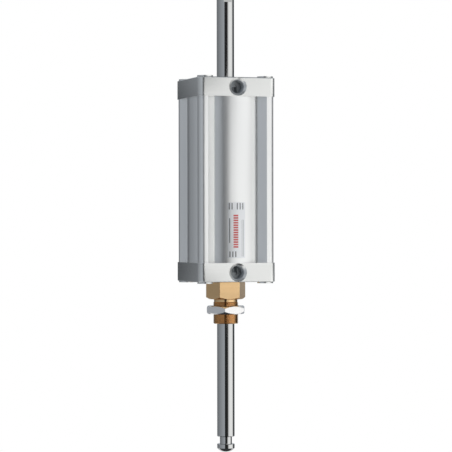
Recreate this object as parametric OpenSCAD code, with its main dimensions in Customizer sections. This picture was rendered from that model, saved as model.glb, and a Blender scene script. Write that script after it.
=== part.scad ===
// Double-acting pneumatic cylinder with a through piston rod.
// The rod leaves both ends of a square profile barrel. The lower end carries a
// threaded brass gland that goes through a panel and is held there by a lock nut.
// Origin: on the rod axis, in the plane of the gland's shoulder. +Z is up, the
// two air ports face -Y. Sizes are in millimetres, at rest the rod is fully down.

/* [Cylinder] */
// Diameter of the barrel's bore
bore_d = 100; // [80:1:125]
// Travel of the piston
stroke = 160; // [40:10:400]
// Diameter of both piston rods
rod_d = 25; // [22:0.5:26]

/* [Barrel profile] */
// Wall of the round barrel between the corner columns
barrel_wall = 4.8; // [4:0.1:5]
// How far the flat lands stand out past the round barrel
land_proud = 0.7; // [0.3:0.1:2]
// Radius of the profile's four corners
profile_corner_r = 8.1; // [4:0.1:10]
// Distance from the sharp corner to the inner edge of a flat land
land_w = 12; // [10.5:0.5:13]
// How far each slanted flank runs inward from its land
flank_run = 10.9; // [9:0.1:12]
// How deep each slanted flank drops below its land
flank_drop = 8.6; // [7:0.1:9]

/* [End caps] */
// How far an end cap stands out past the profile's lands
cap_overhang = 1.5; // [0.5:0.5:3]
// Height of an end cap without its spigot
cap_h = 27; // [26:0.5:40]
// Radius of the caps' upright corners
cap_corner_r = 9; // [6:0.5:12]
// Rounding of the caps' outer edge
cap_edge_r = 1.4; // [0.6:0.1:2]
// Height of the round spigot that centres a cap in the bore
spigot_h = 8; // [7:0.5:12]
// Diameter of the raised pad round each tie screw
pad_d = 22.5; // [21:0.5:24]
// Height of the raised pads
pad_h = 2; // [1:0.1:4]

/* [Tie screws] */
// Distance from a tie screw's axis to the plane of the lands
screw_inset = 11; // [10.5:0.5:12]
// Diameter of a tie screw's head
screw_head_d = 18; // [16:0.5:19]
// Height of a tie screw's head
screw_head_h = 13; // [11:0.5:15]
// Diameter of a tie screw's shank
screw_d = 12; // [11:0.5:12]
// How far a tie screw reaches into the barrel's corner column
screw_reach = 24; // [15:1:40]
// Core diameter of the mounting thread in a tie screw's head
mount_thread_d = 8.5; // [7:0.5:9]
// Depth of the mounting thread
mount_thread_depth = 16; // [12:1:20]

/* [Air ports] */
// Core diameter of a port's pipe thread
port_d = 18.6; // [15:0.1:19]
// Depth of a port below the cap's face
port_depth = 17; // [14:1:18]
// Diameter of the conical sink at a port's mouth
port_sink_d = 26; // [20:0.5:26]
// Depth of the conical sink
port_sink_depth = 3; // [1:0.5:4]
// Diameter of the air passage from a port to the chamber
passage_d = 8; // [5:0.5:9]
// Distance from the bore's wall to the middle of the air passage
passage_inset = 12; // [11:0.5:13]

/* [Gland] */
// Width of the gland's hexagon across its flats
hex_af = 50; // [46:1:55]
// Height of the gland's hexagon
hex_h = 25.5; // [18:0.5:35]
// How far the hexagon is turned about the rod axis
hex_turn = -4.4; // [-30:0.2:30]
// Outer diameter of the neck's thread
neck_d = 36; // [35:0.5:38]
// Length of the neck below the shoulder
neck_len = 35; // [32:1:50]
// Diameter of the thread undercut below the shoulder
undercut_d = 33.7; // [33:0.1:34.5]
// Height of the thread undercut
undercut_h = 4; // [2:0.5:5]
// Diameter of the gland's spigot inside the lower cap
gland_spigot_d = 40; // [38:0.5:44]
// Height of the gland's spigot
gland_spigot_h = 22; // [21:0.5:23]

/* [Lock nut] */
// Width of the lock nut across its flats
nut_af = 53; // [50:1:58]
// Height of the lock nut
nut_h = 11.8; // [9:0.1:14]
// How far the lock nut is turned about the rod axis
nut_turn = 10.3; // [-30:0.1:30]
// Room for a panel between the shoulder and the nut
panel_gap = 9.3; // [6:0.1:10]

/* [Rod guides and seals] */
// Wall of a rod bush
bush_wall = 1.5; // [1:0.1:1.8]
// Height of the gland's bush
lower_bush_h = 25; // [20:1:27]
// Height of the upper cap's bush
upper_bush_h = 18; // [14:1:19]
// Outer diameter of a rod seal
rod_seal_d = 32; // [30.5:0.5:33]
// Height of a rod seal
rod_seal_h = 8; // [6:0.5:9]
// Outer diameter of a rod wiper
wiper_d = 31; // [29:0.5:32]
// Height of a rod wiper
wiper_h = 6; // [4:0.5:7]
// Section of the O-rings
o_ring_d = 3.4; // [2:0.1:3.6]
// Section of the small O-rings at the gland and the stud
small_o_ring_d = 2.4; // [1.8:0.1:2.6]

/* [Piston] */
// Height of the two clamped piston halves together
piston_h = 52.5; // [48:0.5:80]
// Gap between the piston and the bore, on the radius
piston_gap = 0.4; // [0.3:0.1:0.6]
// Radial depth of a piston seal's groove
piston_seal_depth = 7.6; // [6:0.1:9]
// Height of a piston seal's groove
piston_seal_h = 8; // [6:0.5:9]
// Distance from a piston half's end face to its seal groove
piston_land_h = 5; // [4.5:0.5:7]
// Thickness of the guide ring
guide_t = 3.5; // [2:0.5:4.5]
// Height of the guide ring's groove
guide_h = 16; // [12:0.5:20]
// Thickness of the magnet ring
magnet_t = 10; // [6:0.5:12]
// Height of the magnet ring
magnet_h = 10; // [8:0.5:11]
// Metal left between the magnet and the guide ring's groove
magnet_cover = 2.4; // [1:0.1:3]
// Diameter of the rod's stud through the piston
stud_d = 20; // [17:0.5:20]
// How deep each rod sits in its piston half
rod_seat_h = 6; // [4:0.5:10]
// How far the stud reaches into the upper rod
stud_reach = 22; // [15:1:30]
// Inner diameter of an end bumper
bumper_in_d = 40; // [34:1:44]
// Outer diameter of an end bumper
bumper_out_d = 60; // [52:1:64]
// How far a bumper is let into the piston
bumper_inset = 3; // [2:0.5:3.5]
// How far a bumper stands proud of the piston
bumper_proud = 3; // [1:0.5:5]

/* [Rod ends] */
// Lower rod between the neck and the shoulder above its groove, rod fully down
lower_reach = 161.8; // [161:0.1:450]
// Diameter of the coupling groove
groove_d = 17.3; // [12:0.1:18]
// Height of the coupling groove
groove_h = 10.3; // [6:0.1:15]
// Height of the rod's round head
head_h = 11; // [8:0.5:16]
// Radius of the head's domed end
dome_r = 16; // [14:0.5:20]
// Diameter of the flat left on the dome
dome_flat_d = 11.6; // [8:0.2:14]
// Upper rod above the upper cap, rod fully down
upper_reach = 130; // [40:1:400]
// Width across the spanner flats on the upper rod
flats_af = 22; // [18:0.5:22]
// Height of the spanner flats
flats_h = 14; // [8:1:25]
// Bevel on the rods' edges
rod_bevel = 1; // [0.3:0.1:1.5]

/* [Fits] */
// Radial clearance of a running or sliding fit
running = 0.05; // [0.02:0.01:0.09]
// Radial clearance of a fixed seat
seat = 0.05; // [0.02:0.01:0.08]
// Clearance round parts that must not touch
free_gap = 0.3; // [0.2:0.05:0.5]
// Gap left between a bumper and a cap at the end of the stroke
stop_gap = 0.25; // [0.1:0.05:0.5]

/* [Hidden] */
$fn = 96;
eps = 1;
bore_r = bore_d / 2;
rod_r = rod_d / 2;
barrel_r = bore_r + barrel_wall;
profile_half = barrel_r + land_proud;
cap_half = profile_half + cap_overhang;
screw_off = profile_half - screw_inset;
passage_off = bore_r - passage_inset;

// Heights above the gland's shoulder, from bottom to top
lower_cap_z = hex_h;
barrel_z = lower_cap_z + cap_h;
piston_z = barrel_z + spigot_h + stop_gap + bumper_proud;
piston_top_z = piston_z + piston_h;
barrel_h = stroke + piston_h + 2 * (spigot_h + stop_gap + bumper_proud);
upper_cap_z = barrel_z + barrel_h;
top_z = upper_cap_z + cap_h;
rod_shoulder_z = -neck_len - lower_reach;

// Piston and its rings, as radii
piston_r = bore_r - piston_gap;
ring_r = bore_r - running;
seal_groove_r = piston_r - piston_seal_depth;
guide_groove_r = ring_r - guide_t - running;
magnet_r = guide_groove_r - magnet_cover;
magnet_in_r = magnet_r - magnet_t;
rod_hole_r = rod_r + free_gap;
bush_r = rod_r + running + bush_wall;
o_groove_w = o_ring_d + 1;
small_groove_w = small_o_ring_d + 0.6;
small_o_depth = small_o_ring_d + 2 * seat;
gland_spigot_r = gland_spigot_d / 2;
gland_top_z = hex_h + gland_spigot_h;

// Room left above a rod seal, and the upper cap's pocket for its seal and wiper
seal_room = 0.5;
seal_pocket_h = rod_seal_h + wiper_h + seal_room;

// Ends of the gland's bush and seal
gland_seal_z = gland_top_z - rod_seal_h - seal_room;
lower_bush_z = gland_seal_z - lower_bush_h;

// Hexagons: corner radius, chamfer angle and how far the chamfer cuts a flat
hex_chamfer = 30;
nut_chamfer = 35;
face_inset = 1.2;
thread_bevel = 1;

// ---------------------------------------------------------------- helpers

// A plain ring standing on z = 0
module ring(out_r, in_r, h) {
    difference() {
        cylinder(r = out_r, h = h);
        translate([0, 0, -eps]) cylinder(r = in_r, h = h + 2 * eps);
    }
}

// An annular groove cut into a shaft of radius out_r
module shaft_groove(out_r, floor_r, z, h) {
    translate([0, 0, z]) ring(out_r + eps, floor_r, h);
}

// An O-ring lying in the plane z = 0
module o_ring(mid_r, section_d) {
    rotate_extrude() translate([mid_r, 0]) circle(d = section_d, $fn = 32);
}

// A square outline with round corners
module round_square(side, r) {
    square([side, side - 2 * r], center = true);
    square([side - 2 * r, side], center = true);
    for (x = [-1, 1], y = [-1, 1])
        translate([x * (side / 2 - r), y * (side / 2 - r)]) circle(r = r);
}

// The four places of the tie screws
module at_screws() {
    for (x = [-1, 1], y = [-1, 1])
        translate([x * screw_off, y * screw_off, 0]) children();
}

// A lip seal: a ring whose open V faces up, towards the air pressure
module lip_seal(in_r, out_r, h) {
    wall = (out_r - in_r) / 4;
    rotate_extrude() polygon([
        [in_r + wall / 3, 0], [out_r - wall / 3, 0],
        [out_r - wall / 3, h * 0.45], [out_r, h * 0.85], [out_r - wall / 2, h],
        [out_r - wall, h], [(in_r + out_r) / 2, h * 0.4], [in_r + wall, h],
        [in_r + wall / 2, h], [in_r, h * 0.85], [in_r + wall / 3, h * 0.45]
    ]);
}

// A rod wiper: a ring whose slanted lip points down, out of the cylinder
module wiper(in_r, out_r, h) {
    lip = (out_r - in_r) / 3;
    rotate_extrude() polygon([
        [out_r, h], [out_r, h * 0.25], [out_r - lip, h * 0.25],
        [in_r + lip / 2, 0], [in_r, h * 0.15], [in_r + lip / 3, h * 0.45],
        [in_r + lip / 3, h]
    ]);
}

// A hexagonal prism whose ends are turned to a cone
module turned_hexagon(af, h, angle, both_ends) {
    corner_r = af / 2 / cos(30);
    face_r = af / 2 - face_inset;
    drop = (corner_r + eps - face_r) * tan(angle);
    intersection() {
        cylinder(r = corner_r, h = h, $fn = 6);
        rotate_extrude() polygon([
            [0, 0], [face_r, 0], [corner_r + eps, drop],
            [corner_r + eps, both_ends ? h - drop : h],
            [both_ends ? face_r : corner_r + eps, h], [0, h]
        ]);
    }
}

// ---------------------------------------------------------------- barrel

// One corner column of the extrusion: two flat lands, two slanted flanks and
// the step walls, which run into the middle of the round barrel's wall
module corner_column() {
    land = profile_half - land_w;
    crease = land - flank_run;
    flank_foot = profile_half - flank_drop;
    wall_mid = bore_r + barrel_wall / 2;
    step_foot = sqrt(wall_mid * wall_mid - crease * crease);
    polygon([
        [0, 0], [step_foot, crease], [flank_foot, crease], [profile_half, land],
        [profile_half, profile_half], [land, profile_half], [crease, flank_foot],
        [crease, step_foot]
    ]);
}

// Section of the extrusion: a round barrel held between four corner columns
module barrel_section() {
    difference() {
        union() {
            circle(r = barrel_r, $fn = 128);
            intersection() {
                round_square(2 * profile_half, profile_corner_r);
                for (turn = [0 : 90 : 270]) rotate(turn) corner_column();
            }
        }
        circle(r = bore_r, $fn = 128);
        for (x = [-1, 1], y = [-1, 1])
            translate([x * screw_off, y * screw_off]) circle(r = screw_d / 2 + seat);
    }
}

module barrel() {
    color([0.76, 0.78, 0.79])
    translate([0, 0, barrel_z]) linear_extrude(barrel_h) barrel_section();
}

// ---------------------------------------------------------------- end caps

// A cap's block: a square with round corners and a rounded outer edge
module cap_block() {
    flat = cap_half - cap_corner_r;
    module edge_post()
        rotate_extrude() {
            translate([0, cap_edge_r]) square([cap_corner_r, cap_h - cap_edge_r]);
            square([cap_corner_r - cap_edge_r, cap_h]);
            translate([cap_corner_r - cap_edge_r, cap_edge_r]) circle(r = cap_edge_r, $fn = 32);
        }
    module edge_bar()
        rotate([90, 0, 90]) linear_extrude(2 * flat, center = true) {
            translate([-cap_half, cap_edge_r]) square([2 * cap_half, cap_h - cap_edge_r]);
            translate([cap_edge_r - cap_half, 0]) square([2 * (cap_half - cap_edge_r), cap_h]);
            for (side = [-1, 1])
                translate([side * (cap_half - cap_edge_r), cap_edge_r])
                    circle(r = cap_edge_r, $fn = 32);
        }
    edge_bar();
    rotate([0, 0, 90]) edge_bar();
    for (x = [-1, 1], y = [-1, 1]) translate([x * flat, y * flat, 0]) edge_post();
}

// Air port with its conical sink, and the passage that leads up to the chamber
module port_cut() {
    mid = cap_h / 2;
    sink_r = port_sink_d / 2;
    translate([0, -cap_half, mid]) rotate([-90, 0, 0]) {
        translate([0, 0, -eps]) cylinder(d = port_d, h = port_depth + eps);
        cylinder(r1 = sink_r, r2 = port_d / 2, h = port_sink_depth);
        translate([0, 0, -eps]) cylinder(r = sink_r, h = eps);
        cylinder(d = passage_d, h = cap_half - passage_off, $fn = 48);
    }
    translate([0, -passage_off, mid])
        cylinder(d = passage_d, h = cap_h + spigot_h, $fn = 48);
}

// What both caps share, with the outer face on z = 0 and the spigot upwards
module cap_blank() {
    difference() {
        union() {
            cap_block();
            at_screws() translate([0, 0, -pad_h]) cylinder(d = pad_d, h = pad_h + eps);
            cylinder(r = bore_r - seat, h = cap_h + spigot_h);
        }
        shaft_groove(bore_r, bore_r - seat - o_ring_d, cap_h + spigot_h / 2 - o_groove_w / 2,
            o_groove_w);
        port_cut();
        at_screws() translate([0, 0, -pad_h - eps]) {
            cylinder(r = screw_head_d / 2 + seat, h = eps + screw_head_h);
            cylinder(r = screw_d / 2 + free_gap, h = cap_h + pad_h + 2 * eps);
        }
    }
}

module lower_cap() {
    color([0.84, 0.85, 0.86])
    translate([0, 0, lower_cap_z]) difference() {
        cap_blank();
        translate([0, 0, -eps]) cylinder(r = gland_spigot_r + seat, h = gland_spigot_h + eps);
        cylinder(r = rod_hole_r, h = cap_h + spigot_h + eps);
    }
}

module upper_cap() {
    color([0.84, 0.85, 0.86])
    translate([0, 0, top_z]) mirror([0, 0, 1]) difference() {
        cap_blank();
        translate([0, 0, -eps]) cylinder(r = rod_seal_d / 2 + seat, h = seal_pocket_h + eps);
        cylinder(r = rod_hole_r, h = cap_h + spigot_h + eps);
        translate([0, 0, cap_h + spigot_h - upper_bush_h])
            cylinder(r = bush_r + seat, h = upper_bush_h + eps);
    }
}

// Four cap screws, each with a mounting thread in its head
module tie_screws() {
    at_screws() translate([0, 0, -pad_h]) difference() {
        union() {
            cylinder(d = screw_head_d, h = screw_head_h);
            cylinder(d = screw_d, h = pad_h + cap_h + screw_reach);
        }
        translate([0, 0, -eps]) cylinder(d = mount_thread_d, h = mount_thread_depth + eps);
        translate([0, 0, -0.01])
            cylinder(r1 = mount_thread_d / 2 + 1, r2 = mount_thread_d / 2, h = 1);
    }
}

module lower_tie_screws() {
    color([0.62, 0.63, 0.64]) translate([0, 0, lower_cap_z]) tie_screws();
}

module upper_tie_screws() {
    color([0.62, 0.63, 0.64]) translate([0, 0, top_z]) mirror([0, 0, 1]) tie_screws();
}

// O-rings that seal the caps' spigots in the bore
module barrel_seal(z) {
    color([0.08, 0.08, 0.09])
    translate([0, 0, z]) o_ring(bore_r - seat - o_ring_d / 2, o_ring_d - seat);
}

module lower_barrel_seal() {
    barrel_seal(barrel_z + spigot_h / 2);
}

module upper_barrel_seal() {
    barrel_seal(upper_cap_z - spigot_h / 2);
}

// ---------------------------------------------------------------- gland

// Threaded neck with its undercut and bevelled ends
module neck() {
    neck_r = neck_d / 2;
    rotate_extrude() polygon([
        [0, -neck_len], [neck_r - thread_bevel, -neck_len],
        [neck_r, -neck_len + thread_bevel], [neck_r, -undercut_h - thread_bevel],
        [neck_r - thread_bevel, -undercut_h], [undercut_d / 2, -undercut_h],
        [undercut_d / 2, eps], [0, eps]
    ]);
}

module gland() {
    color([0.80, 0.64, 0.38])
    difference() {
        union() {
            rotate([0, 0, hex_turn]) turned_hexagon(hex_af, hex_h, hex_chamfer, false);
            neck();
            cylinder(r = gland_spigot_r, h = gland_top_z);
        }
        shaft_groove(gland_spigot_r, gland_spigot_r - small_o_depth, hex_h + 2, small_groove_w);
        translate([0, 0, -neck_len - eps]) cylinder(r = rod_hole_r, h = neck_len + gland_top_z + 2 * eps);
        translate([0, 0, -neck_len - eps]) cylinder(r = wiper_d / 2 + seat, h = wiper_h + eps);
        translate([0, 0, lower_bush_z]) cylinder(r = bush_r + seat, h = lower_bush_h + eps);
        translate([0, 0, gland_seal_z])
            cylinder(r = rod_seal_d / 2 + seat, h = gland_top_z - gland_seal_z + eps);
    }
}

module gland_seal() {
    color([0.08, 0.08, 0.09])
    translate([0, 0, hex_h + 2 + small_groove_w / 2])
        o_ring(gland_spigot_r - small_o_depth / 2, small_o_ring_d);
}

module lower_rod_bush() {
    color([0.66, 0.55, 0.40])
    translate([0, 0, lower_bush_z]) ring(bush_r, rod_r + running, lower_bush_h);
}

module lower_rod_seal() {
    color([0.15, 0.30, 0.22])
    translate([0, 0, gland_seal_z]) lip_seal(rod_r + running, rod_seal_d / 2, rod_seal_h);
}

module lower_rod_wiper() {
    color([0.15, 0.30, 0.22])
    translate([0, 0, -neck_len]) wiper(rod_r + running, wiper_d / 2, wiper_h);
}

module upper_rod_bush() {
    color([0.66, 0.55, 0.40])
    translate([0, 0, upper_cap_z - spigot_h]) ring(bush_r, rod_r + running, upper_bush_h);
}

module upper_rod_seal() {
    color([0.15, 0.30, 0.22])
    translate([0, 0, top_z - seal_pocket_h]) mirror([0, 0, 1])
        translate([0, 0, -rod_seal_h]) lip_seal(rod_r + running, rod_seal_d / 2, rod_seal_h);
}

module upper_rod_wiper() {
    color([0.15, 0.30, 0.22])
    translate([0, 0, top_z - seal_pocket_h + rod_seal_h + wiper_h]) mirror([0, 0, 1])
        wiper(rod_r + running, rod_seal_d / 2, wiper_h);
}

// ---------------------------------------------------------------- piston

// One piston half, outer face on z = 0 and its clamped face upwards
module piston_half() {
    half_h = piston_h / 2;
    difference() {
        cylinder(r = piston_r, h = half_h);
        translate([0, 0, -eps]) {
            cylinder(r = stud_d / 2 + seat, h = half_h + 2 * eps);
            cylinder(r = rod_r + seat, h = rod_seat_h + eps);
            ring(bumper_out_d / 2 + seat, bumper_in_d / 2 - seat, bumper_inset + eps);
        }
        shaft_groove(piston_r, seal_groove_r, piston_land_h, piston_seal_h);
        shaft_groove(piston_r, guide_groove_r, half_h - guide_h / 2, guide_h / 2 + eps);
        translate([0, 0, half_h - magnet_h / 2])
            ring(magnet_r + seat, magnet_in_r - seat, magnet_h / 2 + eps);
        translate([0, 0, half_h - small_groove_w / 2])
            cylinder(r = stud_d / 2 + small_o_depth, h = small_groove_w);
    }
}

module lower_piston_half() {
    color([0.70, 0.72, 0.74]) translate([0, 0, piston_z]) piston_half();
}

module upper_piston_half() {
    color([0.70, 0.72, 0.74]) translate([0, 0, piston_top_z]) mirror([0, 0, 1]) piston_half();
}

module magnet_ring() {
    color([0.25, 0.25, 0.27])
    translate([0, 0, piston_z + (piston_h - magnet_h) / 2]) ring(magnet_r, magnet_in_r, magnet_h);
}

module stud_seal() {
    color([0.08, 0.08, 0.09])
    translate([0, 0, piston_z + piston_h / 2])
        o_ring(stud_d / 2 + small_o_depth / 2, small_o_ring_d);
}

module guide_ring() {
    ring_h = guide_h - 2 * free_gap;
    color([0.55, 0.36, 0.22])
    translate([0, 0, piston_z + (piston_h - ring_h) / 2])
        ring(ring_r, guide_groove_r + running, ring_h);
}

// The open lip of each piston seal faces its own chamber
module piston_seal() {
    h = piston_seal_h - 2 * free_gap;
    translate([0, 0, -h - free_gap]) lip_seal(seal_groove_r + running, ring_r, h);
}

module lower_piston_seal() {
    color([0.15, 0.30, 0.22])
    translate([0, 0, piston_z + piston_land_h]) mirror([0, 0, 1]) piston_seal();
}

module upper_piston_seal() {
    color([0.15, 0.30, 0.22])
    translate([0, 0, piston_top_z - piston_land_h]) piston_seal();
}

module bumper() {
    translate([0, 0, -bumper_proud])
        ring(bumper_out_d / 2, bumper_in_d / 2, bumper_proud + bumper_inset);
}

module lower_bumper() {
    color([0.12, 0.12, 0.13]) translate([0, 0, piston_z]) bumper();
}

module upper_bumper() {
    color([0.12, 0.12, 0.13]) translate([0, 0, piston_top_z]) mirror([0, 0, 1]) bumper();
}

// ---------------------------------------------------------------- rods

// Lower rod: domed head, coupling groove, shaft and the stud through the piston
module lower_rod() {
    head_z = rod_shoulder_z - groove_h;
    tip_z = head_z - head_h;
    flat_r = dome_flat_d / 2;
    dome_z = tip_z + sqrt(dome_r * dome_r - flat_r * flat_r);
    rim_z = dome_z - sqrt(dome_r * dome_r - rod_r * rod_r);
    seat_z = piston_z + rod_seat_h;
    stud_top_z = piston_top_z - rod_seat_h + stud_reach;
    color([0.78, 0.79, 0.80])
    union() {
        intersection() {
            translate([0, 0, tip_z]) cylinder(r = rod_r, h = rim_z - tip_z + eps);
            translate([0, 0, dome_z]) sphere(r = dome_r);
        }
        rotate_extrude() polygon([
            [0, rim_z], [rod_r, rim_z], [rod_r, head_z - rod_bevel / 2],
            [rod_r - rod_bevel / 2, head_z], [groove_d / 2, head_z],
            [groove_d / 2, rod_shoulder_z], [rod_r - rod_bevel, rod_shoulder_z],
            [rod_r, rod_shoulder_z + rod_bevel], [rod_r, seat_z - rod_bevel],
            [rod_r - rod_bevel, seat_z], [stud_d / 2, seat_z],
            [stud_d / 2, stud_top_z - rod_bevel], [stud_d / 2 - rod_bevel, stud_top_z],
            [0, stud_top_z]
        ]);
    }
}

// Upper rod: socket for the stud, shaft, and spanner flats at its free end
module upper_rod() {
    foot_z = piston_top_z - rod_seat_h;
    end_z = top_z + upper_reach;
    socket_h = stud_reach + 2;
    color([0.78, 0.79, 0.80])
    difference() {
        rotate_extrude() polygon([
            [0, foot_z], [rod_r - rod_bevel, foot_z], [rod_r, foot_z + rod_bevel],
            [rod_r, end_z - rod_bevel], [rod_r - rod_bevel, end_z], [0, end_z]
        ]);
        translate([0, 0, foot_z - eps]) cylinder(r = stud_d / 2 + seat, h = socket_h + eps);
        for (side = [-1, 1])
            translate([-rod_d, side * (flats_af / 2 + rod_r) - rod_r, end_z - 6 - flats_h])
                cube([2 * rod_d, rod_d, flats_h]);
    }
}

// ---------------------------------------------------------------- lock nut

module lock_nut() {
    hole_r = neck_d / 2 + running;
    color([0.82, 0.83, 0.85])
    translate([0, 0, -panel_gap - nut_h]) difference() {
        rotate([0, 0, nut_turn]) turned_hexagon(nut_af, nut_h, nut_chamfer, true);
        translate([0, 0, -eps]) cylinder(r = hole_r, h = nut_h + 2 * eps);
        translate([0, 0, -0.01]) cylinder(r1 = hole_r + 1, r2 = hole_r, h = 1);
        translate([0, 0, nut_h - 0.99]) cylinder(r1 = hole_r, r2 = hole_r + 1, h = 1);
    }
}

barrel();
lower_cap();
upper_cap();
lower_tie_screws();
upper_tie_screws();
lower_barrel_seal();
upper_barrel_seal();
gland();
gland_seal();
lower_rod_bush();
lower_rod_seal();
lower_rod_wiper();
upper_rod_bush();
upper_rod_seal();
upper_rod_wiper();
guide_ring();
lower_piston_seal();
upper_piston_seal();
lower_rod();
upper_rod();
lower_piston_half();
upper_piston_half();
magnet_ring();
stud_seal();
lower_bumper();
upper_bumper();
lock_nut();
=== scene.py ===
# %% [markdown]
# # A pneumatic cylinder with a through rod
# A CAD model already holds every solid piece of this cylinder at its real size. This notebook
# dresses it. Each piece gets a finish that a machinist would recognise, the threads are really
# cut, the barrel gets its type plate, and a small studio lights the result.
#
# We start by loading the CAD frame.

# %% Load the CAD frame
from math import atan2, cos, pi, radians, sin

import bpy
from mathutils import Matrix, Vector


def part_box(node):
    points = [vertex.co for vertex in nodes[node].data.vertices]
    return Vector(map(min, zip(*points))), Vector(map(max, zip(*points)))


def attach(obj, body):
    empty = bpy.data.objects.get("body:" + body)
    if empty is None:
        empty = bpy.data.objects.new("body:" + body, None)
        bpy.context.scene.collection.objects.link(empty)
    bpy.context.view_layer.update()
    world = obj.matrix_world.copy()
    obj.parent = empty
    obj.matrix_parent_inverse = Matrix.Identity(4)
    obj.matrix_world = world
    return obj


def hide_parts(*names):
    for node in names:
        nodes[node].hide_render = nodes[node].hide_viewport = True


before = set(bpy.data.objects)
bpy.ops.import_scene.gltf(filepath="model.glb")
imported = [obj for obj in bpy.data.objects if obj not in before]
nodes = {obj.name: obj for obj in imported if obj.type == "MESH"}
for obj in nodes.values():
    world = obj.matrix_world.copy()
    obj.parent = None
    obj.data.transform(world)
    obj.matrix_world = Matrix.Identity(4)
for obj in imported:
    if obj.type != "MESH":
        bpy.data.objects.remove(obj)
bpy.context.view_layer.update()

# %% [markdown]
# ## A unit
# Blender measures in metres, and a machinist thinks in millimetres. With `MM` every size below
# reads as it would on a drawing.

MM = 0.001

# %% [markdown]
# ## Where things are
# The boxes of a few CAD nodes serve as rulers: the round barrel, the neck and the lower rod.
# Reading them from the frame keeps every new piece in step with the CAD model. Two sizes are used
# by more than one cell, so they stand here too: the heights of the two port axes.

# %% Rulers
barrel_low, barrel_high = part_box("barrel")
gland_low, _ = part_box("gland")
cap_low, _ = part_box("lower_cap")
rod_low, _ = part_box("lower_rod")
floor_z = rod_low.z - 0.75
PORT_Z = {"lower": 39 * MM, "upper": 301 * MM}
print("barrel from", round(barrel_low.z, 4), "to", round(barrel_high.z, 4), "m")

# %% [markdown]
# ## The camera
# A long lens from three metres away keeps the upright edges nearly parallel, as a catalogue
# picture does. The camera stands 18 degrees to the left of the front face, level with the barrel.
# A lens is longer the narrower the view is: sensor width times distance, divided by the width that
# the picture has to show.

# %% Camera
view_turn = radians(-18)
view_distance = 3.08
view_width = 0.6476
aim = Vector((0.0005, -0.0002, 0.1046))
camera_roll = radians(-0.08)

camera_data = bpy.data.cameras.new("catalogue_camera")
camera_data.sensor_width = 36
camera_data.lens = camera_data.sensor_width * view_distance / view_width
camera = bpy.data.objects.new("catalogue_camera", camera_data)
bpy.context.scene.collection.objects.link(camera)
camera.location = aim + view_distance * Vector((sin(view_turn), -cos(view_turn), 0))
towards_aim = (aim - camera.location).to_track_quat("-Z", "Y").to_euler()
towards_aim.rotate_axis("Z", camera_roll)
camera.rotation_euler = towards_aim
bpy.context.scene.camera = camera
print("lens:", round(camera_data.lens, 1), "mm")

# %% [markdown]
# ## Colours and nodes
# A shader calculates with linear light, while a colour picked on a screen is sRGB. `paint` turns
# one into the other, so that all colours below can be written as hex values.
#
# A material is a tree of nodes. `add_node` adds one node, makes its settings, and fills its
# inputs. An input takes a constant, or the output that feeds it.

# %% Helpers for colours and nodes
def paint(hex_colour):
    """Linear RGBA of an sRGB hex colour such as #C8CDD0."""
    channels = [int(hex_colour[i:i + 2], 16) / 255 for i in (1, 3, 5)]
    linear = [c / 12.92 if c <= 0.04045 else ((c + 0.055) / 1.055) ** 2.4 for c in channels]
    return (*linear, 1.0)


def add_node(tree, kind, inputs=None, **settings):
    """Add a node. An input is a constant, a socket, or a node that feeds its first output."""
    node = tree.nodes.new(kind)
    for name, setting in settings.items():
        setattr(node, name, setting)
    for name, source in (inputs or {}).items():
        if isinstance(source, bpy.types.Node):
            source = source.outputs[0]
        if isinstance(source, bpy.types.NodeSocket):
            tree.links.new(source, node.inputs[name])
        else:
            node.inputs[name].default_value = source
    return node


print("white paint is", paint("#FFFFFF"))

# %% [markdown]
# ## Materials for solid pieces
# All solid pieces use the Principled shader. For a metal, Metallic is 1 and the colour says how
# much of each colour its surface mirrors. Roughness says how far that reflection is smeared.

# %% Helpers for materials
def empty_material(name):
    """A material whose node tree holds nothing yet."""
    material = bpy.data.materials.new(name)
    material.use_nodes = True
    material.node_tree.nodes.clear()
    return material, material.node_tree


def new_material(name, **shader_values):
    """A material with one Principled shader. Keys are socket names with _ for a space."""
    material, tree = empty_material(name)
    values = {key.replace("_", " "): value for key, value in shader_values.items()}
    shader = add_node(tree, "ShaderNodeBsdfPrincipled", values)
    add_node(tree, "ShaderNodeOutputMaterial", {"Surface": shader})
    return material, tree, shader


def put_on(piece, material):
    """Make this the piece's only material."""
    piece.data.materials.clear()
    piece.data.materials.append(material)


def dress(material, *names):
    """Give CAD nodes a material."""
    for name in names:
        put_on(nodes[name], material)


print("material helpers ready")

# %% [markdown]
# ## Marks that tools leave
# Real metal is never evenly smooth. A die, a cutter or a grinding wheel leaves lines, and they
# show as small changes of gloss. `streaks` makes them from noise that is squeezed in one direction
# and stretched in the other. It reads the Object coordinates, which are real metres on the piece,
# so a mark keeps its size on every piece. `tool_marks` lets such a pattern steer the roughness,
# and where a depth is given, the relief too.

# %% Helpers for tool marks
def object_axes(tree):
    """Sockets X, Y and Z with a point's place on the object in metres."""
    place = add_node(tree, "ShaderNodeTexCoord")
    return add_node(tree, "ShaderNodeSeparateXYZ", {"Vector": place.outputs["Object"]}).outputs


def streaks(tree, across, along):
    """Noise with marks about `across` wide in X and Y, and `along` high in Z."""
    place = add_node(tree, "ShaderNodeTexCoord")
    squeeze = add_node(tree, "ShaderNodeMapping", {
        "Vector": place.outputs["Object"], "Scale": (1 / across, 1 / across, 1 / along)})
    return add_node(
        tree, "ShaderNodeTexNoise", {"Vector": squeeze, "Scale": 1.0, "Detail": 3.0})


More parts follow.
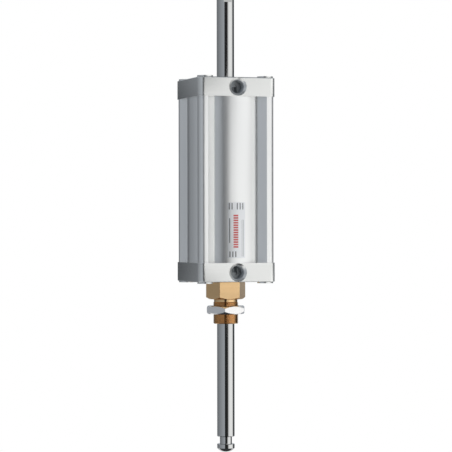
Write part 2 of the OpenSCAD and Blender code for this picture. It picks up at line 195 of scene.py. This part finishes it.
def tool_marks(tree, shader, pattern, smooth, dull, depth=0.0):
    """Let a pattern vary the roughness from smooth to dull, and carve it to a depth."""
    roughness = add_node(tree, "ShaderNodeMapRange", {
        "Value": pattern, "From Min": 0.3, "From Max": 0.7, "To Min": smooth, "To Max": dull})
    tree.links.new(roughness.outputs[0], shader.inputs["Roughness"])
    if depth:
        relief = add_node(tree, "ShaderNodeBump", {
            "Height": pattern, "Strength": 0.3, "Distance": depth})
        tree.links.new(relief.outputs[0], shader.inputs["Normal"])


print("tool marks ready")

# %% [markdown]
# ## Anodised extrusion for the barrel
# The barrel is an aluminium profile, pressed through a die and then clear anodised. The oxide
# layer is finely etched, so reflections spread into broad soft bands. The die leaves faint lines
# along the whole length. Real die lines are about 0.1 mm apart; here they are 2 mm apart, or they
# would not show.

# %% Barrel material
anodised, tree, shader = new_material(
    "anodised_extruded_aluminium", Base_Color=paint("#F6F7F6"), Metallic=1.0)
die_lines = streaks(tree, across=2 * MM, along=300 * MM)
tool_marks(tree, shader, die_lines, smooth=0.32, dull=0.37, depth=0.01 * MM)
dress(anodised, "barrel")
print("barrel:", anodised.name)

# %% [markdown]
# ## Milled and anodised end caps
# The caps are milled from bar and anodised too, but the cutter leaves them smoother than the
# extrusion, so they mirror the studio more clearly. The cutter's marks run level round the cap.
# Real ones are about 0.2 mm apart and are drawn 1.2 mm apart, so that they show.
#
# A tapped port is dull in its fine, oily flanks and in its sink, and shade falls deep inside it,
# which is painted into the colour here. Both ports lie equally far from the barrel's middle. So one
# distance to a port's axis finds both bores, and from the sink inwards the colour turns darker with
# painted shade and the finish turns duller.

# %% Find the ports on the caps
port_sink_r = 13.1 * MM
port_sink_starts = 1.7 * MM
port_sink_ends = 3.6 * MM
ports_middle_z = (PORT_Z["lower"] + PORT_Z["upper"]) / 2
port_from_middle = PORT_Z["upper"] - ports_middle_z

milled, tree, shader = new_material("milled_anodised_aluminium", Metallic=1.0)
x, y, z = object_axes(tree)
from_middle_z = add_node(tree, "ShaderNodeMath", {0: z, 1: ports_middle_z}, operation="SUBTRACT")
above = add_node(tree, "ShaderNodeMath", {0: from_middle_z}, operation="ABSOLUTE")
off_axis_z = add_node(tree, "ShaderNodeMath", {0: above, 1: port_from_middle}, operation="SUBTRACT")
off_axis = add_node(tree, "ShaderNodeCombineXYZ", {"X": x, "Z": off_axis_z})
off_axis = add_node(tree, "ShaderNodeVectorMath", {0: off_axis}, operation="LENGTH")
in_bore = add_node(
    tree, "ShaderNodeMath", {0: off_axis.outputs["Value"], 1: port_sink_r}, operation="LESS_THAN")
past_sink = add_node(tree, "ShaderNodeMapRange", {
    "Value": y, "From Min": cap_low.y + port_sink_starts, "From Max": cap_low.y + port_sink_ends})
before_axis = add_node(tree, "ShaderNodeMath", {0: y, 1: 0.0}, operation="LESS_THAN")
inside = add_node(tree, "ShaderNodeMath", {0: in_bore, 1: past_sink}, operation="MULTIPLY")
inside = add_node(tree, "ShaderNodeMath", {0: inside, 1: before_axis}, operation="MULTIPLY")
print("ports", round(port_from_middle / MM, 1), "mm from the middle")

# %% [markdown]
# `inside` is now 1 in the bores and 0 elsewhere. A Mix node uses it to choose between the bright
# skin and a darker grey, which is painted shade in the bore, and the same value adds roughness.

# %% Cap material
cap_smooth, cap_dull, bore_adds = 0.25, 0.27, 0.25

# Painted shade: the bores get a darker grey than the skin, for the shade that falls inside them.
skin_and_painted_bore_shade = add_node(tree, "ShaderNodeMix", {
    "Factor": inside, 6: paint("#E8E9E7"), 7: paint("#AEB3B6")}, data_type="RGBA")
tree.links.new(skin_and_painted_bore_shade.outputs[2], shader.inputs["Base Color"])
cutter_marks = streaks(tree, across=120 * MM, along=1.2 * MM)
roughness = add_node(tree, "ShaderNodeMapRange", {
    "Value": cutter_marks, "From Min": 0.3, "From Max": 0.7, "To Min": cap_smooth,
    "To Max": cap_dull})
duller = add_node(tree, "ShaderNodeMath", {0: inside, 1: bore_adds}, operation="MULTIPLY")
roughness = add_node(tree, "ShaderNodeMath", {0: roughness, 1: duller}, operation="ADD")
tree.links.new(roughness.outputs[0], shader.inputs["Roughness"])
dress(milled, "lower_cap", "upper_cap")
print("caps:", milled.name)

# %% [markdown]
# ## Hard-chromed rod
# A piston rod is ground and hard-chromed, close to a mirror, so it shows the studio as sharp
# upright bands. Grinding leaves very fine rings, some 0.05 mm apart, which only take the edge off
# the reflection. They are drawn 1.5 mm apart.

# %% Rod material
chrome, tree, shader = new_material(
    "hard_chromed_steel", Base_Color=paint("#C3C4C3"), Metallic=1.0)
grinding = streaks(tree, across=60 * MM, along=1.5 * MM)
tool_marks(tree, shader, grinding, smooth=0.070, dull=0.075)
dress(chrome, "lower_rod", "upper_rod")
print("rods:", chrome.name)

# %% [markdown]
# ## Turned brass
# The gland is turned from free-cutting brass: warm yellow, and a little duller than polished
# brass. The lathe's feed marks are about 0.1 mm apart and are drawn 1.4 mm apart. The tone drifts
# between two yellows over a centimetre, as on metal that hands have touched.
#
# The thread's grooves get painted shade. The distance from the axis tells how deep a point lies, so
# the colour sinks towards a darker brown from the crests to the floors, for the shade and warm
# inter-reflection deep in the grooves. The sizes of the thread are set here, because the cell that
# cuts it uses the same ones.

# %% Brass material
neck_pitch = 1.5 * MM
neck_r = 18 * MM
neck_depth = 0.6134 * neck_pitch
undercut_z = -4 * MM
groove_shade_share = 0.5

brass, tree, shader = new_material("turned_brass", Metallic=1.0)
lathe_rings = streaks(tree, across=40 * MM, along=1.4 * MM)
tool_marks(tree, shader, lathe_rings, smooth=0.17, dull=0.21)
tarnish = streaks(tree, across=14 * MM, along=10 * MM)
tone = add_node(tree, "ShaderNodeMix", {
    "Factor": tarnish, 6: paint("#EECB99"), 7: paint("#E8C08E")}, data_type="RGBA")
x, y, z = object_axes(tree)
off_axis = add_node(tree, "ShaderNodeCombineXYZ", {"X": x, "Y": y})
off_axis = add_node(tree, "ShaderNodeVectorMath", {0: off_axis}, operation="LENGTH")
depth = add_node(tree, "ShaderNodeMapRange", {
    "Value": off_axis.outputs["Value"], "From Min": neck_r, "From Max": neck_r - neck_depth,
    "To Min": 0.0, "To Max": groove_shade_share})
on_neck = add_node(tree, "ShaderNodeMath", {0: z, 1: undercut_z}, operation="LESS_THAN")
in_groove = add_node(tree, "ShaderNodeMath", {0: depth, 1: on_neck}, operation="MULTIPLY")
# Painted shade: a darker brown towards the groove floors, where the thread's shade falls.
painted_groove_shade = add_node(tree, "ShaderNodeMix", {
    "Factor": in_groove, 6: tone.outputs[2], 7: paint("#A67C3A")}, data_type="RGBA")
tree.links.new(painted_groove_shade.outputs[2], shader.inputs["Base Color"])
dress(brass, "gland")
print("gland:", brass.name)

# %% [markdown]
# ## Nickel-plated nut, zinc-plated screws
# Nickel gives the lock nut a bright, slightly soft mirror, with patches of more and less gloss
# nearly a centimetre wide. The tie screws are zinc plated, greyer and duller. Zinc crystals are too
# small to see, so they are drawn 3 mm wide.

# %% Nut and screw materials
nickel, tree, shader = new_material(
    "nickel_plated_steel", Base_Color=paint("#EEEDEC"), Metallic=1.0)
plating = streaks(tree, across=8 * MM, along=8 * MM)
tool_marks(tree, shader, plating, smooth=0.12, dull=0.20)
dress(nickel, "lock_nut")

zinc, tree, shader = new_material("zinc_plated_steel", Base_Color=paint("#B9BCBF"), Metallic=1.0)
crystals = streaks(tree, across=3 * MM, along=3 * MM)
tool_marks(tree, shader, crystals, smooth=0.30, dull=0.45)
dress(zinc, "lower_tie_screws", "upper_tie_screws")
print("nut and screws:", nickel.name, zinc.name)

# %% [markdown]
# ## Seals, bushes and the piston
# Most of these pieces are hidden while the cylinder is whole, but they are real pieces of the
# model and get real finishes. Rubber and polyurethane are matt and nearly black or dark green,
# sintered bronze is a dull porous metal, filled PTFE a waxy brown, and bonded ferrite a dark
# plastic full of iron oxide. The grain of all of them is finer than 0.1 mm and is drawn 3 mm wide.

# %% Inner materials
INNER = {      # colour, metallic, roughness from and to, and the pieces made of it
    "nitrile_rubber": ("#1B1B1C", 0.0, 0.50, 0.65, (
        "lower_barrel_seal", "upper_barrel_seal", "gland_seal", "stud_seal")),
    "green_polyurethane": ("#2C5A43", 0.0, 0.35, 0.50, (
        "lower_rod_seal", "upper_rod_seal", "lower_rod_wiper", "upper_rod_wiper",
        "lower_piston_seal", "upper_piston_seal")),
    "sintered_bronze": ("#B08D5B", 1.0, 0.40, 0.60, ("lower_rod_bush", "upper_rod_bush")),
    "filled_ptfe": ("#7A4E30", 0.0, 0.40, 0.55, ("guide_ring",)),
    "turned_aluminium": ("#D5D8DA", 1.0, 0.22, 0.34, ("lower_piston_half", "upper_piston_half")),
    "bonded_ferrite": ("#3A3A3E", 0.0, 0.55, 0.70, ("magnet_ring",)),
    "black_polyurethane": ("#222224", 0.0, 0.45, 0.60, ("lower_bumper", "upper_bumper")),
}
for name, (colour, metallic, smooth, dull, members) in INNER.items():
    material, tree, shader = new_material(name, Base_Color=paint(colour), Metallic=metallic)
    grain = streaks(tree, across=3 * MM, along=3 * MM)
    tool_marks(tree, shader, grain, smooth, dull, depth=0.02 * MM)
    dress(material, *members)
print("inner materials:", len(INNER))

# %% [markdown]
# ## Selecting in code
# An operator acts on everything that is selected, and the loaded CAD nodes still are. So `take`
# deselects all and selects one piece. In edit mode a person would click on faces; `pick` asks a
# question about each vertex or face instead, such as where it is or which way it looks.

# %% Helpers for selecting
def deselect_all():
    if bpy.context.mode != "OBJECT":
        bpy.ops.object.mode_set(mode="OBJECT")
    bpy.ops.object.select_all(action="DESELECT")


def take(piece):
    """Make one piece the only selected and active object."""
    deselect_all()
    piece.select_set(True)
    bpy.context.view_layer.objects.active = piece


def just_added(name):
    """Name the primitive that an operator has just made."""
    piece = bpy.context.object
    piece.name = piece.data.name = name
    return piece


def pick(piece, kind, keep):
    """In edit mode, select the vertices (VERT) or faces (FACE) for which keep is true."""
    bpy.ops.mesh.select_mode(type=kind)
    bpy.ops.mesh.select_all(action="DESELECT")
    bpy.ops.object.mode_set(mode="OBJECT")
    if kind == "VERT":
        for vertex in piece.data.vertices:
            vertex.select = keep(vertex.co)
    else:
        for face in piece.data.polygons:
            face.select = keep(face.center)
    bpy.ops.object.mode_set(mode="EDIT")


print("selecting helpers ready")

# %% [markdown]
# ## Finishing a mesh
# A modifier is a recipe that Blender works out anew each time; applying it writes the result into
# the mesh. `settle` does the same for an object's place and turn, so that the finished piece sits
# at the origin, like a CAD node. Its Object coordinates then are real places on the cylinder.

# %% Helpers for finishing
def apply_modifier(piece, kind, **settings):
    take(piece)
    modifier = piece.modifiers.new(kind.lower(), kind)
    for name, value in settings.items():
        setattr(modifier, name, value)
    bpy.ops.object.modifier_apply(modifier=modifier.name)


def settle(piece):
    """Put the piece's place, turn and scale into its mesh."""
    take(piece)
    bpy.ops.object.transform_apply(location=True, rotation=True, scale=True)


print("finishing helpers ready")

# %% [markdown]
# ## A cutter for threads
# The CAD model keeps threads plain: the neck is a bar at the thread's outer diameter, and the air
# ports and the screw heads have smooth holes. A thread is a V cut along a helix, and we cut it the
# same way. A small trapezium, wide at the open side of the groove and narrow at its floor, is
# turned up a helix by the Screw modifier. The other way, a bump pattern, would leave the outline
# smooth.

# %% Thread cutter
mouth_share, floor_share = 0.46, 0.07    # half widths of the groove, as shares of the pitch
steps_per_turn = 72
merge_distance = 0.001 * MM
clear = 0.1 * MM                         # how far a cutter reaches out of the surface


def thread_cutter(name, pitch, mouth_r, floor_r, turns):
    """A closed helical cutter round the Z axis that starts at z = 0 and climbs."""
    deselect_all()
    bpy.ops.mesh.primitive_plane_add(size=1, location=(0, 0, 0))
    cutter = just_added(name)
    bpy.ops.object.mode_set(mode="EDIT")
    bpy.ops.mesh.select_all(action="SELECT")
    bpy.ops.transform.resize(value=(abs(mouth_r - floor_r), 2 * mouth_share * pitch, 1))
    bpy.ops.transform.rotate(value=radians(90), orient_axis="X", center_override=(0, 0, 0))
    floor_is_inside = floor_r < mouth_r
    pick(cutter, "VERT", lambda co: (co.x < 0) == floor_is_inside)
    bpy.ops.transform.resize(value=(1, 1, floor_share / mouth_share), center_override=(0, 0, 0))
    bpy.ops.mesh.select_all(action="SELECT")
    bpy.ops.transform.translate(value=((mouth_r + floor_r) / 2, 0, 0))
    bpy.ops.mesh.delete(type="ONLY_FACE")
    apply_modifier(
        cutter, "SCREW", angle=2 * pi, screw_offset=pitch, iterations=turns,
        steps=steps_per_turn, render_steps=steps_per_turn, use_merge_vertices=True)
    bpy.ops.object.mode_set(mode="EDIT")
    bpy.ops.mesh.select_all(action="SELECT")
    bpy.ops.mesh.remove_doubles(threshold=merge_distance)
    bpy.ops.mesh.fill_holes(sides=4)
    bpy.ops.mesh.normals_make_consistent(inside=False)
    bpy.ops.object.mode_set(mode="OBJECT")
    return cutter


print("a cutter makes", steps_per_turn, "steps in a turn")

# %% [markdown]
# ## Copies of CAD nodes
# A boolean takes the cutter away from a copy of a CAD node, and the copy is shown in the node's
# place. CAD meshes arrive with stored normals and doubled corners. Both would spoil the shading of
# the cut, so they are cleared from the copy first. Shade Smooth By Angle then keeps the edges
# crisp and the round faces round.

# %% Helpers for cutting copies
def copy_of_node(node_name, piece_name):
    """A closed copy of a CAD node, ready for booleans."""
    piece = nodes[node_name].copy()
    piece.data = nodes[node_name].data.copy()
    piece.name = piece.data.name = piece_name
    for key in list(piece.keys()):
        del piece[key]
    piece.parent = None
    bpy.context.scene.collection.objects.link(piece)
    take(piece)
    bpy.ops.mesh.customdata_custom_splitnormals_clear()
    bpy.ops.object.mode_set(mode="EDIT")
    bpy.ops.mesh.select_all(action="SELECT")
    bpy.ops.mesh.remove_doubles(threshold=merge_distance)
    bpy.ops.object.mode_set(mode="OBJECT")
    return piece


def cut(piece, cutter):
    apply_modifier(piece, "BOOLEAN", operation="DIFFERENCE", solver="EXACT", object=cutter)


def stand_for(piece, node_name, body, smooth_below):
    """Show the piece in place of a CAD node."""
    take(piece)
    bpy.ops.object.shade_smooth_by_angle(angle=radians(smooth_below))
    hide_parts(node_name)
    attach(piece, body)
    print(piece.name, "has", len(piece.data.polygons), "faces")


print("cutting helpers ready")

# %% [markdown]
# ## The gland's thread
# The neck has a metric fine thread, M36 x 1.5. It starts below the chamfered end and runs out in
# the undercut beneath the hexagon. The cutter starts one turn below the neck, so that the thread
# enters from outside, as a real tool does.

# %% Cut the gland's thread
neck_turns = int((undercut_z - gland_low.z) / neck_pitch) + 3

neck_cutter = thread_cutter(
    "neck_thread_cutter", neck_pitch, neck_r + clear, neck_r - neck_depth, neck_turns)
neck_cutter.location.z = gland_low.z - neck_pitch
threaded_gland = copy_of_node("gland", "threaded_gland")
cut(threaded_gland, neck_cutter)
bpy.data.objects.remove(neck_cutter)
stand_for(threaded_gland, "gland", "cylinder_body", smooth_below=20)

# %% [markdown]
# ## The air ports' threads
# Each cap has one port with a half-inch pipe thread. Its axis is level and points into the front
# face, so the same cutter is laid on its back and pushed into each cap in turn.

# %% Cut the ports' threads
port_pitch = 1.814 * MM
port_r = 9.3 * MM
port_depth = 1.162 * MM
port_turns = 9

port_cutter = thread_cutter(
    "port_thread_cutter", port_pitch, port_r - clear, port_r + port_depth, port_turns)
port_cutter.rotation_euler.x = radians(-90)
for side, axis_z in PORT_Z.items():
    port_cutter.location = (0, cap_low.y - port_pitch, axis_z)
    tapped_cap = copy_of_node(side + "_cap", "tapped_" + side + "_cap")
    cut(tapped_cap, port_cutter)
    stand_for(tapped_cap, side + "_cap", "cylinder_body", smooth_below=25)
bpy.data.objects.remove(port_cutter)

# %% [markdown]
# ## The screw heads' threads
# Each tie screw's head has an M10 thread for fixing the cylinder. One helix is made, and two Array
# modifiers set it out on the square of the four screws, so one cut does a whole end. At the upper
# end the cutter is turned over, which keeps its hand.

# %% Cut the screw heads' threads
head_pitch = 1.5 * MM
head_r = 4.25 * MM
head_floor_r = 5.0 * MM
head_turns = 10
screw_from_axis = 44.5 * MM

head_cutter = thread_cutter(
    "head_thread_cutter", head_pitch, head_r - clear, head_floor_r, head_turns)
for step in ((2 * screw_from_axis, 0, 0), (0, 2 * screw_from_axis, 0)):
    apply_modifier(head_cutter, "ARRAY", count=2, use_relative_offset=False,
                   use_constant_offset=True, constant_offset_displace=step)
for side, over in (("lower", 0), ("upper", 180)):
    screws_low, screws_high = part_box(side + "_tie_screws")
    outer_z = screws_low.z - head_pitch if side == "lower" else screws_high.z + head_pitch
    start_y = -screw_from_axis if side == "lower" else screw_from_axis
    head_cutter.rotation_euler.x = radians(over)
    head_cutter.location = (-screw_from_axis, start_y, outer_z)
    tapped_screws = copy_of_node(side + "_tie_screws", "tapped_" + side + "_tie_screws")
    cut(tapped_screws, head_cutter)
    stand_for(tapped_screws, side + "_tie_screws", "cylinder_body", smooth_below=25)
bpy.data.objects.remove(head_cutter)

# %% [markdown]
# ## The type plate
# A thin foil plate is glued to the round barrel above the lower port. A flat sheet would have to be
# bent to the barrel, so we cut the plate out of a tube that already fits: all other faces are
# deleted, the corners are rounded with a vertex bevel, and Solidify gives the foil its thickness
# outwards.

# %% Type plate
barrel_r = 54.8 * MM
plate_turn = radians(-91.65)
plate_arc = 26 * MM / barrel_r
plate_low_z = 59.5 * MM
plate_h = 78.5 * MM
plate_t = 0.15 * MM
plate_gap = 0.02 * MM
plate_corner_r = 0.9 * MM


def from_middle(co):
    """How far a point is turned away from the plate's middle."""
    turn = atan2(co.y, co.x) - plate_turn
    return abs((turn + pi) % (2 * pi) - pi)


deselect_all()
bpy.ops.mesh.primitive_cylinder_add(
    vertices=360, radius=barrel_r + plate_gap, depth=plate_h, end_fill_type="NOTHING",
    location=(0, 0, plate_low_z + plate_h / 2))
plate = just_added("type_plate")
settle(plate)
bpy.ops.object.mode_set(mode="EDIT")
pick(plate, "FACE", lambda co: from_middle(co) > plate_arc / 2)
bpy.ops.mesh.delete(type="FACE")
side_turn = max(from_middle(vertex.co) for vertex in plate.data.vertices)
pick(plate, "VERT", lambda co: from_middle(co) > side_turn - radians(0.1))
bpy.ops.mesh.bevel(offset=plate_corner_r, segments=3, affect="VERTICES")
apply_modifier(plate, "SOLIDIFY", thickness=plate_t, offset=1.0)
take(plate)
bpy.ops.object.shade_smooth_by_angle(angle=radians(30))
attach(plate, "cylinder_body")
print("type plate:", len(plate.data.polygons), "faces")

# %% [markdown]
# ## The plate's print
# The print is a set of plain bars and a striped red band, without any lettering. Every bar has a
# place on the plate: how far it is turned from the middle, how high it sits, and half its width
# and half its height, all in real millimetres. A Compare node is 1 where a point lies close enough
# to a value. Two of them make a bar, Minimum joins the two, and Maximum adds the bars up.

# %% Print pattern
DARK_BARS = [(across, 73.0, 0.6, 4.6) for across in (-10.5, -6.5, 1.0, 5.3, 9.5)]
DARK_BARS += [(across, 5.3, 0.6, 4.0) for across in (-9.6, -5.4, -1.2)]
DARK_BARS += [(-9.9, 38.6, 0.5, 17.3)]
GREY_BARS = [(across, 28.0, 0.3, 26.0) for across in (8.2, 10.4)]
RED_BARS = [(-1.0, 15.6 + 3.4 * step, 3.5, 1.15) for step in range(14)]


def bars(tree, x, y, z, places):
    """1 on every bar of the list, 0 elsewhere."""
    turned = add_node(tree, "ShaderNodeMath", {0: y, 1: x}, operation="ARCTAN2")
    joined = None
    for across, up, half_w, half_h in places:
        sideways = add_node(tree, "ShaderNodeMath", {
            0: turned, 1: plate_turn + across * MM / barrel_r, 2: half_w * MM / barrel_r},
            operation="COMPARE")
        upwards = add_node(tree, "ShaderNodeMath", {
            0: z, 1: plate_low_z + up * MM, 2: half_h * MM}, operation="COMPARE")
        bar = add_node(tree, "ShaderNodeMath", {0: sideways, 1: upwards}, operation="MINIMUM")
        joined = bar if joined is None else add_node(
            tree, "ShaderNodeMath", {0: joined, 1: bar}, operation="MAXIMUM")
    return joined


print("bars on the plate:", len(DARK_BARS + GREY_BARS + RED_BARS))

# %% [markdown]
# The plate is aluminium foil with a satin lacquer, so it is a little less metallic than bare
# metal and shows soft reflections. Each ink lies over the one before: a Mix node passes the colour
# below on, except where its bars are. The lacquer's slight waves are 4 mm wide.

# %% Type plate material
foil, tree, shader = new_material("printed_aluminium_foil", Metallic=0.85)
x, y, z = object_axes(tree)
colour = paint("#ECEEF0")
for places, ink in ((GREY_BARS, "#9A9EA0"), (DARK_BARS, "#3A3C3E"), (RED_BARS, "#CF6C69")):
    printed = add_node(tree, "ShaderNodeMix", {
        "Factor": bars(tree, x, y, z, places), 6: colour, 7: paint(ink)}, data_type="RGBA")
    colour = printed.outputs[2]
tree.links.new(colour, shader.inputs["Base Color"])
lacquer = streaks(tree, across=4 * MM, along=4 * MM)
tool_marks(tree, shader, lacquer, smooth=0.34, dull=0.42)
put_on(plate, foil)
print("plate:", foil.name)

# %% [markdown]
# ## The studio
# Metal has little colour of its own: it looks like what stands round it. A photographer builds a
# ring of boards for such an object, and so do we. The camera stands in a narrow black gap. Right
# of it hangs a big soft box, left of it grey card, and dark card on both far sides gives the edges
# their dark lines. The soft box leans, so above and below the barrel it starts and ends further
# right than beside it.
#
# All this is one table. A row holds a turn in degrees from the camera to its right, the light's
# strength beside the barrel, and its strength beyond the barrel, where the rods look.

# %% Light table
LIGHT = [
    (-180, 0.65, 0.65), (-166, 0.60, 0.50), (-157, 0.03, 0.10), (-145, 0.04, 0.12),
    (-139, 0.22, 0.34), (-130, 0.30, 0.37), (-118, 0.22, 0.26), (-105, 0.34, 0.36),
    (-75, 0.36, 0.43), (-45, 0.43, 0.52), (-14, 0.45, 0.60), (-12, 0.015, 0.03),
    (6, 0.015, 0.03), (10, 0.95, 0.03), (15, 1.22, 0.03), (20, 1.33, 0.03), (26, 1.25, 0.03),
    (32, 1.13, 0.56), (38, 1.02, 1.00), (44, 0.94, 1.14), (55, 0.87, 1.30), (70, 0.80, 1.34),
    (84, 0.77, 1.32), (88, 0.15, 1.30), (97, 0.12, 1.15), (103, 0.21, 0.62), (112, 0.34, 0.30),
    (118, 0.06, 0.02), (139, 0.05, 0.00), (146, 0.50, 0.20), (180, 0.65, 0.65),
]
SOFT_BOX = (5, 110)      # plain white between these turns, a cooler white elsewhere
PLAIN, COOL = paint("#FFFFFF"), paint("#EEF4FC")
brightest = 1.4
print("turns in the light table:", len(LIGHT))

# %% [markdown]
# A colour ramp blends from turn to turn. Its stops hold colours up to 1, so the strengths are
# divided by the brightest one, and the Emission node multiplies by it again. Arctangent turns a
# place on the ring into a turn, after a Mapping node has turned the ring towards the camera.

# %% Materials that glow
camera_turn = atan2(-cos(view_turn), sin(view_turn))


def ring_light(name, column):
    """Light that changes with the turn round the Z axis, as one column of the table says."""
    material, tree = empty_material(name)
    place = add_node(tree, "ShaderNodeTexCoord")
    facing = add_node(tree, "ShaderNodeMapping", {
        "Vector": place.outputs["Object"], "Rotation": (0, 0, -camera_turn)})
    axes = add_node(tree, "ShaderNodeSeparateXYZ", {"Vector": facing})
    turned = add_node(tree, "ShaderNodeMath", {
        0: axes.outputs["Y"], 1: axes.outputs["X"]}, operation="ARCTAN2")
    share = add_node(
        tree, "ShaderNodeMapRange", {"Value": turned, "From Min": -pi, "From Max": pi})
    ramp = add_node(tree, "ShaderNodeValToRGB", {"Fac": share})
    stops = ramp.color_ramp.elements
    while len(stops) < len(LIGHT):
        stops.new(0.5)
    for stop, row in zip(stops, LIGHT):
        tint = PLAIN if SOFT_BOX[0] < row[0] < SOFT_BOX[1] else COOL
        stop.position = (row[0] + 180) / 360
        stop.color = (*(channel * row[column] / brightest for channel in tint[:3]), 1)
    glow = add_node(tree, "ShaderNodeEmission", {"Color": ramp, "Strength": brightest})
    add_node(tree, "ShaderNodeOutputMaterial", {"Surface": glow})
    return material


def even_light(name, strength):
    """One plain light without any pattern."""
    material, tree = empty_material(name)
    glow = add_node(tree, "ShaderNodeEmission", {"Color": COOL, "Strength": strength})
    add_node(tree, "ShaderNodeOutputMaterial", {"Surface": glow})
    return material


print("the camera stands at", round(camera_turn / pi * 180), "degrees")

# %% [markdown]
# ## The ring of light
# The ring is a tube in four bands. The middle bands light the barrel and the rods. The highest
# band is plain grey, which the caps' tops mirror in views from above. The tubes are hidden from
# the camera, so they never block a view, and they throw no shadow.

# %% Ring of light
ring_r = 1.5
ring_low, barrel_from, barrel_to, rods_to, ring_high = -1.40, -0.068, 0.41, 0.68, 1.60


def put_in_studio(name, material):
    """Turn the primitive just added into a light that the camera doesn't see."""
    light = just_added(name)
    settle(light)
    put_on(light, material)
    light.visible_camera = False
    light.visible_shadow = False


beside = ring_light("light_beside", 1)
beyond = ring_light("light_beyond", 2)
high = even_light("light_high", 0.55)
for name, low_z, high_z, material in (
        ("ring_below", ring_low, barrel_from, beyond),
        ("ring_beside", barrel_from, barrel_to, beside),
        ("ring_above", barrel_to, rods_to, beyond),
        ("ring_high", rods_to, ring_high, high)):
    deselect_all()
    bpy.ops.mesh.primitive_cylinder_add(
        vertices=360, radius=ring_r, depth=high_z - low_z, end_fill_type="NOTHING",
        location=(0, 0, (low_z + high_z) / 2))
    put_in_studio(name, material)
print("ring of light, radius", ring_r, "m")

# %% [markdown]
# A lid closes the ring and a small flag hangs below the object. Both are dark, because the nut's
# chamfers and the ports look steeply up and down, and would otherwise mirror bright white.

# %% Lid and flag
for name, height, flag_r, strength in (
        ("upper_flag", ring_high, ring_r, 0.25), ("lower_flag", -0.60, 0.40, 0.06)):
    deselect_all()
    bpy.ops.mesh.primitive_circle_add(
        vertices=96, radius=flag_r, fill_type="NGON", location=(0, 0, height))
    put_in_studio(name, even_light(name, strength))
print("flags above and below the object")

# %% [markdown]
# ## Background
# The world is plain white for the camera and for reflections, and a milder white for all other
# rays, so that it fills the shadows without burning out pale surfaces. A Light Path node tells
# which kind of ray is asking. Several kinds are joined with Maximum.

# %% World
def seen_directly(tree):
    """1 for camera, glossy and transmission rays, 0 for all others."""
    rays = add_node(tree, "ShaderNodeLightPath").outputs
    seen = add_node(tree, "ShaderNodeMath", {
        0: rays["Is Camera Ray"], 1: rays["Is Glossy Ray"]}, operation="MAXIMUM")
    return add_node(tree, "ShaderNodeMath", {
        0: seen, 1: rays["Is Transmission Ray"]}, operation="MAXIMUM")


world = bpy.data.worlds.new("white_studio")
bpy.context.scene.world = world
world.use_nodes = True
tree = world.node_tree
tree.nodes.clear()
fill = add_node(tree, "ShaderNodeBackground", {"Color": paint("#FFFFFF"), "Strength": 0.6})
white = add_node(tree, "ShaderNodeBackground", {"Color": paint("#FFFFFF"), "Strength": 1.0})
both = add_node(tree, "ShaderNodeMixShader", {0: seen_directly(tree), 1: fill, 2: white})
add_node(tree, "ShaderNodeOutputWorld", {"Surface": both})
print("world:", world.name)

# %% [markdown]
# ## Floor
# The floor lies well below the hanging cylinder. It shows the camera white with a share of real
# shading, so that it keeps the object's soft shadow, and that share fades out with distance. From
# below the floor is clear, so that the object can be looked at from there too.

# %% Floor
matt_near_object = 0.35
fade_scale = 0.3         # the fade ends 1 / 0.3 m from the middle

floor_material, tree = empty_material("white_floor")
place = add_node(tree, "ShaderNodeTexCoord")
reach = add_node(tree, "ShaderNodeMapping", {
    "Vector": place.outputs["Object"], "Scale": (fade_scale, fade_scale, 0)})
fade = add_node(
    tree, "ShaderNodeTexGradient", {"Vector": reach}, gradient_type="QUADRATIC_SPHERE")
matt_share = add_node(tree, "ShaderNodeMath", {
    0: fade.outputs["Fac"], 1: matt_near_object}, operation="MULTIPLY")
matt = add_node(tree, "ShaderNodeBsdfDiffuse", {"Color": paint("#F4F4F4")})
glow = add_node(tree, "ShaderNodeEmission", {"Color": paint("#FFFFFF"), "Strength": 1.0})
to_camera = add_node(tree, "ShaderNodeMixShader", {0: matt_share, 1: glow, 2: matt})
surface = add_node(tree, "ShaderNodeMixShader", {0: seen_directly(tree), 1: matt, 2: to_camera})
side = add_node(tree, "ShaderNodeNewGeometry")
clear_pane = add_node(tree, "ShaderNodeBsdfTransparent")
one_sided = add_node(tree, "ShaderNodeMixShader", {
    0: side.outputs["Backfacing"], 1: surface, 2: clear_pane})
add_node(tree, "ShaderNodeOutputMaterial", {"Surface": one_sided})

deselect_all()
bpy.ops.mesh.primitive_plane_add(size=40, location=(0, 0, floor_z))
floor = just_added("studio_floor")
settle(floor)
put_on(floor, floor_material)
bpy.context.scene.view_settings.view_transform = "Standard"
print("floor at", round(floor_z, 3), "m")
